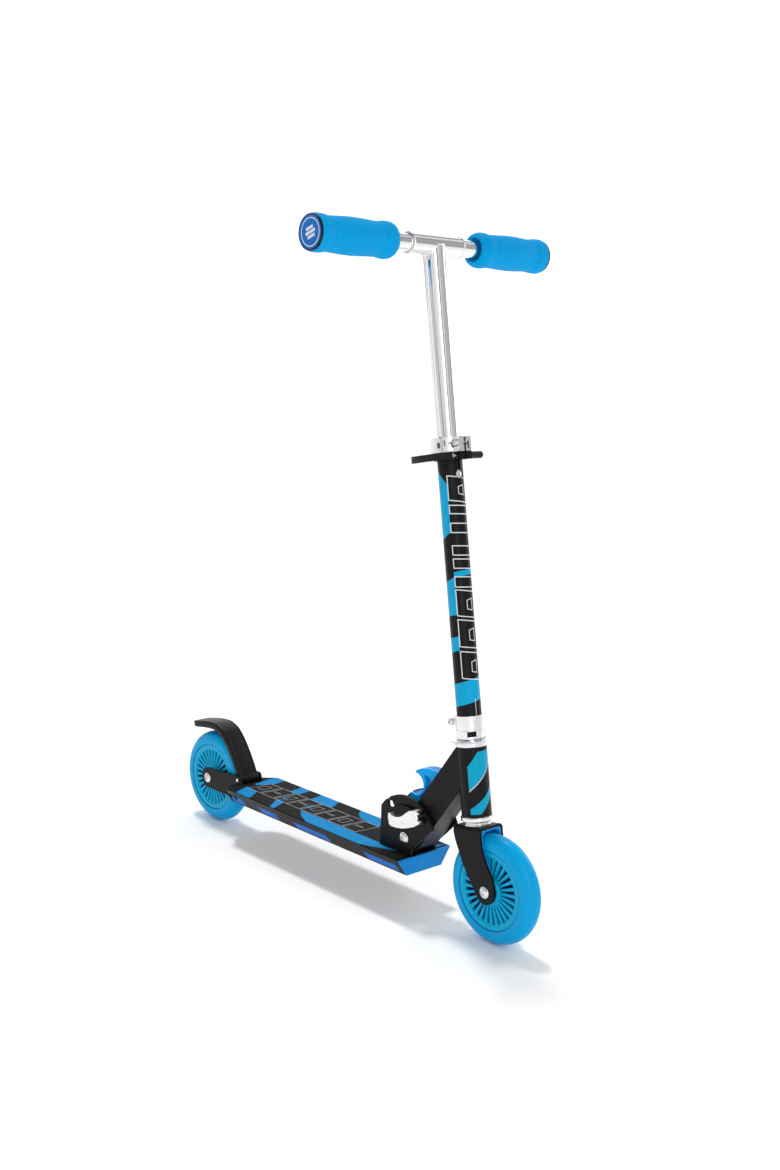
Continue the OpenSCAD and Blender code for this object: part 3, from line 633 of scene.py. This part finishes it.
finishes = {
    "blackPaint": blackPaint(),
    "tubePaint": tubePaint(),
    "headPaint": headPaint(),
    "deckPaint": deckPaint(),
    "gripTape": gripTape(),
    "blueCap": bluePlastic("cap_blue", "0088d2", 0.34),
    "blueLiner": bluePlastic("liner_blue", "0094de", 0.3),
    "pull": pullPlastic(),
    "tyre": tyreUrethane(),
    "hub": hubPlastic(),
    "grip": gripFoam(),
    "cap": capPlastic(),
    "chrome": chromedTube(),
    "steel": brightSteel(),
    "cast": castAlloy(),
    "moulded": blackMoulded(),
    "blackBolt": blackMoulded("black_bolt", 0.34, "121214"),
    # the clamp's finish carries painted shade in its sunken windows
    "clamp": castAlloy("clamp_cast", clampPaintAndShade),
    # the lock nut's finish carries a painted dark reflection on every other flat
    "lockNut": castAlloy("lock_nut", lockNutPaintedReflection),
}
print("finishes made:", len(finishes))


def toPiece(name, points, faces, finish, body, node=None, smooth=40):
    # arrays of points and faces into a mesh object that rides on a body
    mesh = bpy.data.meshes.new(name)
    mesh.from_pydata(np.asarray(points).reshape(-1, 3).tolist(), [], faces)
    mesh.update()
    mesh.materials.append(finish)
    piece = bpy.data.objects.new(name, mesh)
    bpy.context.scene.collection.objects.link(piece)
    mesh.shade_smooth()
    mesh.set_sharp_from_angle(angle=math.radians(smooth))
    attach(piece, body)
    if node:
        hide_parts(*([node] if isinstance(node, str) else node))
    return piece


def gridFaces(nu, nv, loopU, loopV):
    # quads between neighbours on a grid of nu by nv points; either way may close on itself
    u = np.arange(nu if loopU else nu - 1)
    v = np.arange(nv if loopV else nv - 1)
    a, b = np.meshgrid(u, v, indexing="ij")
    c, d = (a + 1) % nu, (b + 1) % nv
    quads = np.stack([a * nv + b, c * nv + b, c * nv + d, a * nv + d], -1).reshape(-1, 4)
    return quads.tolist()


def roundCorners(points, radius, steps=5, closed=True):
    # each corner of an outline becomes a quadratic curve that leaves its sides at the given radius
    points = np.asarray(points, float)
    radius = np.broadcast_to(radius, len(points))
    result = []
    for i, p in enumerate(points):
        if not closed and i in (0, len(points) - 1):
            result.append(p[None])
            continue
        before, after = points[i - 1] - p, points[(i + 1) % len(points)] - p
        lengths = np.linalg.norm(before), np.linalg.norm(after)
        reach = min(radius[i], lengths[0] * 0.48, lengths[1] * 0.48)
        a, b = p + before / lengths[0] * reach, p + after / lengths[1] * reach
        t = np.linspace(0, 1, steps + 1)[:, None]
        result.append(a * (1 - t) ** 2 + 2 * p * t * (1 - t) + b * t ** 2)
    return np.concatenate(result)


def revolve(name, profile, centre, axis, side, finish, body, node, turns, smooth):
    # a closed (radius, along) outline carried round an axis
    angle = np.linspace(0, 2 * np.pi, turns, endpoint=False)[:, None]
    r, z = profile[None, :, 0] + 0 * angle, profile[None, :, 1] + 0 * angle
    other = np.cross(axis, side)
    points = (centre + (r * np.cos(angle))[..., None] * side + (r * np.sin(angle))[..., None] * other
              + z[..., None] * axis)
    faces = gridFaces(turns, len(profile), True, True)
    fixNormals(toPiece(name, points, faces, finish, body, node, smooth))


def fixNormals(piece):  # outward faces on a closed mesh
    work = bmesh.new()
    work.from_mesh(piece.data)
    bmesh.ops.recalc_face_normals(work, faces=work.faces)
    work.to_mesh(piece.data)
    work.free()


def softEdges(node, finish, width, sharp=32):
    # a CAD node's shape with its sharp edges broken by a small round
    source = frame["nodes"][node]
    mesh = source.data.copy()
    mesh.materials.clear()
    mesh.materials.append(finish)
    piece = bpy.data.objects.new(node + "_made", mesh)
    bpy.context.scene.collection.objects.link(piece)
    work = bmesh.new()
    work.from_mesh(mesh)
    bmesh.ops.remove_doubles(work, verts=work.verts, dist=0.000002)
    bmesh.ops.dissolve_limit(work, angle_limit=math.radians(0.4), verts=work.verts, edges=work.edges)
    work.to_mesh(mesh)
    work.free()
    mesh.shade_smooth()
    mesh.set_sharp_from_angle(angle=math.radians(sharp))
    bevel = piece.modifiers.new("round", "BEVEL")
    bevel.width = width * mm
    bevel.segments = 3 if width > 0.9 else 2
    bevel.limit_method = "ANGLE"
    bevel.angle_limit = math.radians(sharp)
    bevel.miter_outer = "MITER_ARC"
    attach(piece, source["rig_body"])
    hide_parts(node)


def dress(node, finish):  # a CAD node shown as it is, in a better finish
    mesh = frame["nodes"][node].data
    mesh.materials.clear()
    mesh.materials.append(finish)


wheel = {
    # sizes in mm
    "radius": 60.0,
    "width": 24.0,
    "seat": 43.0,         # radius where tyre meets hub
    "slots": 28,
    "slotFrom": 15.8,     # radii between which the slots run
    "slotTo": 36.2,
    "slotDepth": 7.2,
    "slotRamp": 0.6,      # how wide the slots' sloping walls are
}


def tyreProfile():
    # half circle over the tread, straight shoulders, and a small step down to the hub's ring
    r, half, seat = wheel["radius"], wheel["width"] / 2, wheel["seat"]
    bend = np.linspace(-np.pi / 2, np.pi / 2, 41)
    tread = np.stack([r - half + half * np.cos(bend), half * np.sin(bend)], 1)
    lip = np.array([[seat + 1.2, half - 0.05], [seat + 0.5, half - 0.25], [seat + 0.15, half - 0.8],
                    [seat + 0.1, half - 1.6]])
    return np.concatenate([tread, lip, (lip * [1, -1])[::-1]])


def hubFace():
    # one face of the hub as height over (angle, radius): ring, field with slots, boss round the bearing
    n, per = wheel["slots"], 14
    angle = np.linspace(0, 2 * np.pi, n * per, endpoint=False)[:, None]
    radius = np.array([11.05, 11.3, 12.5, 13.6, 14.1, 14.6, 15.2, 15.6, 16.0, 16.6, 18, 20, 23, 26, 29, 32,
                       34, 35.2, 35.9, 36.4, 36.8, 37.4, 38.0, 38.5, 39.0, 40.5, 42.2, 42.7, 43.0])[None, :]
    base = np.interp(radius, [11.05, 11.3, 13.4, 14.6, 37.2, 38.2, 42.6, 43.0],
                     [11.7, 12.0, 12.0, 10.3, 10.3, 11.4, 11.4, 11.1])
    pitch = 2 * np.pi / n
    off = np.abs((angle + pitch / 2) % pitch - pitch / 2) * radius            # mm from the slot's middle
    half = np.interp(radius, [15.6, 36], [0.55, 1.75])
    ramp = wheel["slotRamp"]
    sideways = np.clip((half + ramp / 2 - off) / ramp, 0, 1)
    inside, beyond = radius - wheel["slotFrom"], wheel["slotTo"] - radius
    ends = np.clip(inside / ramp, 0, 1) * np.clip(beyond / ramp, 0, 1)
    depth = sideways * ends
    depth = depth * depth * (3 - 2 * depth)
    height = base - depth * wheel["slotDepth"]
    return angle, radius, height, depth


def makeHub(name, centre, body, node):
    # two faces back to back, joined along the bore and along the rim
    angle, radius, height, depth = hubFace()
    nu, nv = height.shape
    x, z = radius * np.cos(angle), radius * np.sin(angle)
    left = np.stack([x, height, z], -1)
    right = np.stack([x, -height, z], -1)[:, ::-1]
    ring = np.concatenate([left, right], 1) * mm + centre     # out on one face, back on the other
    faces = gridFaces(nu, 2 * nv, True, True)
    piece = toPiece(name, ring, faces, finishes["hub"], body, node, 50)
    # the depth also drives the painted shade inside the slots
    layer = piece.data.attributes.new("depth", "FLOAT", "POINT")
    layer.data.foreach_set("value", np.concatenate([depth, depth[:, ::-1]], 1).astype(np.float32).ravel())
    fixNormals(piece)


for end, centre in (("front", frontAxle), ("rear", rearAxle)):
    body = end + "_wheel"
    revolve(end + "_tyre_made", tyreProfile() * mm, centre, across, ahead, finishes["tyre"], body,
            end + "_tyre", 160, 60)
    makeHub(end + "_hub_made", centre, body, end + "_hub")
print("wheels made")

gripShape = {
    # sizes in mm
    "length": 105.0,
    "bore": 9.6,
    "collar": 12.4,        # the mouth of the inner end
}
barCentre = (corners("t_sleeve")[0] + corners("t_sleeve")[1]) / 2


def gripProfile():
    # radius against distance from the grip's inner end: round shoulder, neck, belly, neck, end flange
    along = np.array([0, 0.5, 1.6, 3.4, 6, 9, 13, 17, 20.5, 21.4, 22.2, 30, 42, 54, 66, 74, 82, 87.5, 88.3,
                      89.2, 94, 100, 103, 104.4, 105])
    radius = np.array([13.2, 14.6, 16.3, 17.8, 18.8, 19.25, 19.1, 18.5, 17.95, 17.55, 17.9, 18.1, 18.75,
                       19.15, 18.9, 18.4, 18.0, 17.8, 17.3, 18.0, 18.9, 19.2, 19.1, 18.7, 18.0])
    length, bore, collar = gripShape["length"], gripShape["bore"], gripShape["collar"]
    fine = np.unique(np.concatenate([np.linspace(0, length, 120), along]))
    outer = np.stack([np.interp(fine, along, radius), fine], 1)
    inner = np.array([[bore, length], [bore, 7], [10.4, 5.6], [collar, 5.0], [collar, 1.2], [12.7, 0.3]])
    return np.concatenate([outer, inner])


def capProfile():
    # shallow dish with a rolled rim, and a plug that goes into the tube
    return roundCorners([[0.02, 2.1], [15.9, 2.1], [16.6, 2.6], [18.0, 2.6], [18.2, 0.0], [8.0, 0.0],
                         [8.0, -5.0], [0.02, -5.0]], 0.5, 4, closed=False)


for side, sign in (("right", -1.0), ("left", 1.0)):
    body = side + "_handle"
    tip = corners(side + "_grip")[1 if sign > 0 else 0][1]
    start = np.array([barCentre[0], tip - sign * gripShape["length"] * mm, barCentre[2]])
    axis = across * sign
    revolve(side + "_grip_made", gripProfile() * mm, start, axis, steerFore, finishes["grip"], body,
            side + "_grip", 112, 50)
    end = np.array([barCentre[0], tip, barCentre[2]])
    revolve(side + "_cap_made", capProfile() * mm, end, axis, steerFore, finishes["cap"], body,
            side + "_grip_cap", 96, 35)
print("grips made")

sleeve = {"radius": 11.25, "half": 38.0, "bore": 9.6, "rim": 0.75}   # mm; half is half the length


def sleeveProfile():
    # tube wall with a rolled rim at each end
    r, h, b, rim = sleeve["radius"], sleeve["half"], sleeve["bore"], sleeve["rim"]
    bend = np.linspace(-np.pi / 2, np.pi / 2, 9)
    roll = np.stack([r + rim * np.cos(bend) - 0.05, h - 1.0 + np.sin(bend) * 0.95], 1)
    outer = np.concatenate([(roll * [1, -1])[::-1], roll])
    inner = np.array([[b + 0.2, h - 0.05], [b, h - 0.4], [b, -h + 0.4], [b + 0.2, -h + 0.05]])
    return np.concatenate([outer, inner])


revolve("t_sleeve_made", sleeveProfile() * mm, barCentre, across, steerFore, finishes["chrome"], "handlebar",
        "t_sleeve", 96, 45)

weld = {
    # sizes in mm
    "tube": 12.0,      # radius of the stem tube that the bead runs round
    "bead": 0.9,       # radius of the bead itself
    "ripple": 0.32,    # how much it swells at each weld puddle
    "pitch": 2.2,      # distance between puddles
    "sides": 12,
}


def weldBead(path, normals):
    # a round bead along a closed path; its radius ripples once per weld puddle
    along = np.roll(path, -1, 0) - np.roll(path, 1, 0)
    along /= np.linalg.norm(along, axis=1)[:, None]
    other = np.cross(along, normals)
    travel = np.concatenate([[0], np.cumsum(np.linalg.norm(np.diff(path, axis=0), axis=1))])
    r = (weld["bead"] + weld["ripple"] * np.abs(np.sin(travel / mm / weld["pitch"] * np.pi))) * mm
    turn = np.linspace(0, 2 * np.pi, weld["sides"], endpoint=False)
    points = (path[:, None] + (r[:, None] * np.cos(turn))[..., None] * normals[:, None]
              + (r[:, None] * np.sin(turn))[..., None] * other[:, None])
    piece = toPiece("stem_weld", points, gridFaces(len(path), weld["sides"], True, True), finishes["chrome"],
                    "handlebar", None, 60)
    fixNormals(piece)


def stemWeld():
    # where the stem tube meets the sleeve: the curve of one cylinder on another, just below the sleeve
    turn = np.linspace(0, 2 * np.pi, 120, endpoint=False)
    forward, left = weld["tube"] * np.cos(turn), weld["tube"] * np.sin(turn)
    reach = sleeve["radius"] - 0.05
    drop = -np.sqrt(np.maximum(sleeve["radius"] ** 2 - np.clip(forward, -reach, reach) ** 2, 0.2))
    local = np.stack([forward, left, drop], -1) * mm
    local[:, 2] += (barCentre - steerBase) @ steerAxis
    outward = np.stack([np.cos(turn), np.sin(turn), -0.4 + 0 * turn], -1)
    outward /= np.linalg.norm(outward, axis=1)[:, None]
    weldBead(onSteerer(local), onSteerer(outward) - steerBase)


stemWeld()
softEdges("stem_tube", finishes["chrome"], 0.25)
for side in ("right", "left"):
    softEdges(side + "_handle_tube", finishes["chrome"], 0.3)
print("handlebar made")

fender = {
    # sizes in mm; the tables go from the hinge (0) to the tail (1)
    "half": 14.5,          # half width
    "crown": 1.0,          # how far the middle stands above the sides
    "roll": 0.8,           # height of the rolled edge
    "width": ([0, 0.86, 0.92, 0.96, 0.985, 1], [1, 1, 0.95, 0.86, 0.72, 0.45]),    # share of the half width
    "thick": ([0, 0.1, 0.7, 0.84, 0.93, 0.98, 1], [3.6, 3.2, 3.4, 5.5, 7.8, 6.6, 4.2]),
    "lip": ([0, 0.06, 0.2, 0.5, 0.7, 0.84, 0.93, 0.98, 1], [5, 7.5, 8, 8.5, 8.6, 8.2, 7.9, 6.7, 4.3]),
    # the top's line, ahead of and above the rear axle
    "path": [[69, 13], [64.5, 22], [57, 34.5], [48.5, 46.5], [39.5, 57.5], [28, 68], [17.5, 73], [5.7, 75.2],
             [-11.6, 74], [-28, 71], [-41, 68.5], [-46.6, 66]],
}


def smoothPath(points, count):
    # Catmull-Rom curve through the points, sampled evenly by length
    p = np.asarray(points, float)
    p = np.concatenate([[2 * p[0] - p[1]], p, [2 * p[-1] - p[-2]]])
    t = np.linspace(0, 1, 24, endpoint=False)[:, None]
    runs = [0.5 * (2 * b + (c - a) * t + (2 * a - 5 * b + 4 * c - d) * t ** 2
                   + (3 * b - a - 3 * c + d) * t ** 3)
            for a, b, c, d in zip(p, p[1:], p[2:], p[3:])]
    curve = np.concatenate([*runs, p[-2][None]])
    travel = np.concatenate([[0], np.cumsum(np.linalg.norm(np.diff(curve, axis=0), axis=1))])
    even = np.linspace(0, travel[-1], count)
    return np.stack([np.interp(even, travel, curve[:, k]) for k in range(curve.shape[1])], 1)


def makeFender():
    # a channel section (crowned top, rolled edges, lips turned down) carried along the path over the wheel
    count = 110
    path = smoothPath(fender["path"], count)
    along = np.gradient(path, axis=0)
    along /= np.linalg.norm(along, axis=1)[:, None]
    out = np.stack([along[:, 1], -along[:, 0]], 1)          # away from the wheel
    out *= np.sign((out * path).sum(1))[:, None]
    w, crown, roll = (fender[k] for k in ("half", "crown", "roll"))
    t = np.linspace(0, 1, count)
    narrow, thick, drop = (np.interp(t, *fender[k])[:, None] for k in ("width", "thick", "lip"))
    # section points: across as a share of the half width, and height over the path
    y = np.array([-1, -0.995, -0.96, -0.9, -0.84, -0.74, -0.6, -0.3, 0, 0.3, 0.6, 0.74, 0.84, 0.9, 0.96,
                  0.995, 1])
    top = crown * (1 - np.abs(y) ** 2.2) + roll * np.exp(-((np.abs(y) - 0.86) / 0.07) ** 2) - crown
    top -= 1.3 * np.clip((np.abs(y) - 0.9) / 0.1, 0, 1) ** 2
    outer = np.stack([y * w * narrow, top + 0 * narrow], -1)
    yi = np.array([1, 0.985, 0.95, 0.91, 0.885, 0.86, 0.5, 0, -0.5, -0.86, -0.885, -0.91, -0.95, -0.985, -1])
    deep = np.array([0.93, 0.99, 1.0, 0.95, 0.6, 0, 0, 0, 0, 0, 0.6, 0.95, 1.0, 0.99, 0.93])
    inner = np.stack([yi * w * narrow, -thick * (1 - deep) - drop * deep], -1)
    section = np.concatenate([outer, inner], 1)
    flat = path[:, None] + section[..., 1:2] * out[:, None]
    points = np.stack([flat[..., 0], section[..., 0], flat[..., 1]], -1) * mm + rearAxle
    n = section.shape[1]
    faces = gridFaces(count, n, False, True)
    faces += [list(range(n))[::-1], [(count - 1) * n + i for i in range(n)]]
    piece = toPiece("brake_fender_made", points, faces, finishes["moulded"], "brake", "brake_fender",
                    55)
    fixNormals(piece)
    # round foot on the hinge pin
    barrel = roundCorners([[2.05, -14.4], [5.2, -14.4], [5.2, 14.4], [2.05, 14.4]], [0.3, 1.2, 1.2, 0.3], 4)
    revolve("brake_fender_foot", barrel * mm, brakeHinge, across, ahead, finishes["moulded"], "brake",
            None, 64, 40)


makeFender()
print("fender made")

edges = {
    # node: finish, radius of its broken edges in mm, slot
    "deck_frame": ("deckPaint", 0.8, "black_paint"),
    "grip_tape": ("gripTape", 0.15, "grip_tape"),
    "deck_front_cap": ("blueCap", 0.7, "blue_cap"),
    "fold_bracket_right": ("blackPaint", 0.5, "black_paint"),
    "fold_bracket_left": ("blackPaint", 0.5, "black_paint"),
    "rear_fork_right": ("blackPaint", 0.5, "black_paint"),
    "rear_fork_left": ("blackPaint", 0.5, "black_paint"),
    "down_tube": ("blackPaint", 1.6, "black_paint"),
    "head_tube": ("headPaint", 0.4, "black_paint"),
    "fold_liners": ("moulded", 0.2, "black_plastic"),
    "fork": ("blackPaint", 0.7, "black_paint"),
    "fork_liner": ("blueLiner", 0.5, "blue_liner"),
    "steering_tube": ("tubePaint", 0.25, "black_paint"),
    "tube_bush": ("moulded", 0.3, "black_plastic"),
    "height_clamp": ("clamp", 0.7, "cast_alloy"),
    "lower_clamp": ("cast", 0.6, "cast_alloy"),
    "fold_quick_lever": ("cast", 1.1, "cast_alloy"),
    "height_quick_lever": ("moulded", 0.9, "black_plastic"),
    "height_skewer_nut": ("moulded", 0.6, "black_plastic"),
    "release_pull": ("pull", 1.3, "blue_pull"),
    "headset_washer": ("steel", 0.25, "bright_steel"),
    "headset_lock_nut": ("lockNut", 0.5, "bright_steel"),
    "upper_headset_cup": ("steel", 0.3, "bright_steel"),
    "lower_headset_cup": ("steel", 0.3, "bright_steel"),
    "crown_race": ("steel", 0.3, "bright_steel"),
    "fold_pivot_bolt": ("steel", 0.3, "bright_steel"),
    "front_axle_bolt": ("steel", 0.3, "bright_steel"),
    "rear_axle_bolt": ("steel", 0.3, "bright_steel"),
    "front_axle_nut": ("steel", 0.3, "bright_steel"),
    "deck_cap_nuts": ("steel", 0.3, "bright_steel"),
    "fold_skewer_nut": ("steel", 0.3, "bright_steel"),
    "clamp_screws": ("steel", 0.2, "bright_steel"),
    "deck_bolts": ("blackBolt", 0.3, "black_bolt"),
}
for node, (finish, width, slot) in edges.items():
    softEdges(node, finishes[finish], width)
plain = {
    "fork_steerer": "steel", "fold_skewer": "steel", "height_skewer": "steel", "fold_lever_pin": "steel",
    "headset_balls": "steel", "rear_axle_spacers": "steel", "front_axle_spacers": "steel",
    "rear_bearing_inner_races": "steel", "front_bearing_inner_races": "steel",
    "rear_bearing_outer_races": "steel", "front_bearing_outer_races": "steel", "brake_hinge_pin": "steel",
    "snap_button": "steel", "tube_plug": "moulded",
}
for node, finish in plain.items():
    dress(node, finishes[finish])
print("metal and moulded parts finished")

studio = {
    "floor": 90.0,         # half width of the floor in metres
    "sun": 1.5,
    "sunAngle": 9.0,       # degrees across: softness of the shadow
    "sunFrom": (0.34, -0.16),   # how far the light leans from straight down: from behind, from the left
    "strength": 1.25,
    # brightness of the sky from behind the camera (0) to the far side of the object (1)
    "sky": [(0.0, 0.8), (0.3, 0.56), (0.5, 0.34), (0.62, 0.5), (0.8, 1.0), (0.92, 1.0), (1.0, 1.0)],
    # upright dark screens across the studio, seen only in the metal: place from left to right, shade
    "screens": [(0.0, 1.0), (0.1, 1.0), (0.13, 0.25), (0.18, 0.25), (0.21, 1.0), (0.29, 1.0), (0.31, 0.4),
                (0.33, 1.0), (0.66, 1.0), (0.69, 0.2), (0.74, 0.2), (0.77, 1.0), (0.88, 1.0), (0.9, 0.35),
                (0.93, 1.0)],
    # name: place, point it looks at, width and height, power
    "lamps": {
        "fill": ((1.9, -1.0, 1.1), (0, 0, 0.35), (0.5, 1.8), 9),
        "edge": ((0.6, 1.9, 1.2), (0, 0, 0.4), (0.35, 1.6), 7),
    },
}
yaw = math.radians(view["yaw"])
sight, aside = Vector((math.cos(yaw), math.sin(yaw), 0)), Vector((math.sin(yaw), -math.cos(yaw), 0))


def makeFloor():
    # a flat pale sheet just under the wheels
    paper = Finish("stage_paper")
    clouds = paper.noise(3.0, 3.0)
    paper.set(Base_Color=paper.mixColour(clouds, (0.95, 0.95, 0.95), (0.97, 0.97, 0.97)), Roughness=0.95,
              Specular_IOR_Level=0.0)
    half, under = studio["floor"], -0.0006
    mesh = bpy.data.meshes.new("stage")
    mesh.from_pydata([(x * half, y * half, under) for x, y in ((-1, -1), (1, -1), (1, 1), (-1, 1))], [],
                     [(0, 1, 2, 3)])
    mesh.materials.append(paper.material)
    floor = bpy.data.objects.new("stage", mesh)
    bpy.context.scene.collection.objects.link(floor)


def makeSky():
    # brightest beyond the object as the camera sees it, times the dark screens
    world = bpy.data.worlds.new("studio")
    world.use_nodes = True
    sky = Tree(world.node_tree)
    x, y = sky.parts(sky.node("ShaderNodeTexCoord", {}, [], out="Generated"))[:2]
    facing = x * sight.x + y * sight.y            # 1 the way the camera looks, -1 behind it
    sideways = x * aside.x + y * aside.y          # 1 at the camera's right hand
    glow = sky.ramp(facing * 0.5 + 0.5, studio["sky"])
    screens = sky.ramp(sideways * 0.5 + 0.5, studio["screens"])
    ground = world.node_tree.nodes["Background"]
    world.node_tree.links.new((glow * screens).socket, ground.inputs["Color"])
    ground.inputs["Strength"].default_value = studio["strength"]
    bpy.context.scene.world = world


def addLight(name, kind, energy, travel):  # a light that shines along travel
    light = bpy.data.objects.new(name, bpy.data.lights.new(name, kind))
    light.data.energy = energy
    light.rotation_euler = Vector(travel).to_track_quat("-Z", "Y").to_euler()
    bpy.context.scene.collection.objects.link(light)
    return light


def makeLights():
    # a soft sun from above and behind, and two tall lamps
    back, side = studio["sunFrom"]
    sun = addLight("sun", "SUN", studio["sun"], Vector((0, 0, -1)) - sight * back - aside * side)
    sun.data.angle = math.radians(studio["sunAngle"])
    for name, (place, target, size, power) in studio["lamps"].items():
        lamp = addLight(name, "AREA", power, Vector(target) - Vector(place))
        lamp.data.shape = "RECTANGLE"
        lamp.data.size, lamp.data.size_y = size
        lamp.location = place


makeFloor()
makeSky()
makeLights()
bpy.context.scene.view_settings.view_transform = "Standard"
print("stage made")
